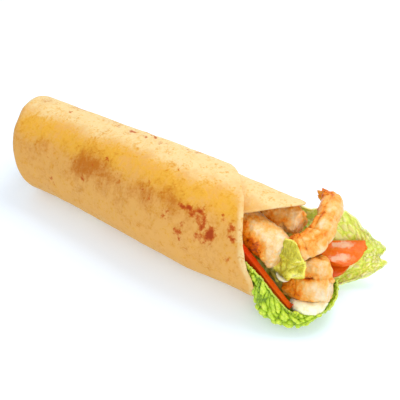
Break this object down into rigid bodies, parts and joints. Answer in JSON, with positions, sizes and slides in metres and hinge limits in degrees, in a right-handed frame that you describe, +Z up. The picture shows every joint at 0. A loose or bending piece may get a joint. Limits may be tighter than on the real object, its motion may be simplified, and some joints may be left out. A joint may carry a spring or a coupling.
{
  "type": "shrimp caesar wrap",
  "caption": "Rolled wheat tortilla wrap, tucked shut at one end, with lettuce, grilled shrimps, tomato and creamy dressing standing out of the open end.",
  "frame": {"origin": "on the table, under the middle of the wrap's bounding box", "axes": "+X along the roll towards the open end, -Y to the front, where the outer flap's edge shows, +Z up"},
  "size_m": [0.228, 0.0709, 0.0591],
  "materials": {
    "tortilla": "soft toasted wheat tortilla with brown griddle marks",
    "lettuce_heart": "pale shredded lettuce",
    "green_leaf": "fresh blistered green lettuce",
    "pale_leaf": "pale yellow-green lettuce leaf",
    "tomato": "wet cut tomato",
    "shrimp": "grilled shrimp, white to orange, with brown seared patches",
    "dressing": "thick cream-coloured dressing"
  },
  "bodies": {
    "root": {"tortilla": "tortilla", "lettuce_core": "lettuce_heart", "lettuce_front": "green_leaf", "lettuce_back": "pale_leaf", "lettuce_centre": "pale_leaf", "tomato_front": "tomato", "tomato_back_upper": "tomato", "tomato_back_lower": "tomato", "shrimp_left": "shrimp", "shrimp_behind": "shrimp", "shrimp_tail": "shrimp", "shrimp_middle": "shrimp", "shrimp_front": "shrimp", "dressing": "dressing"}
  },
  "joints": []
}
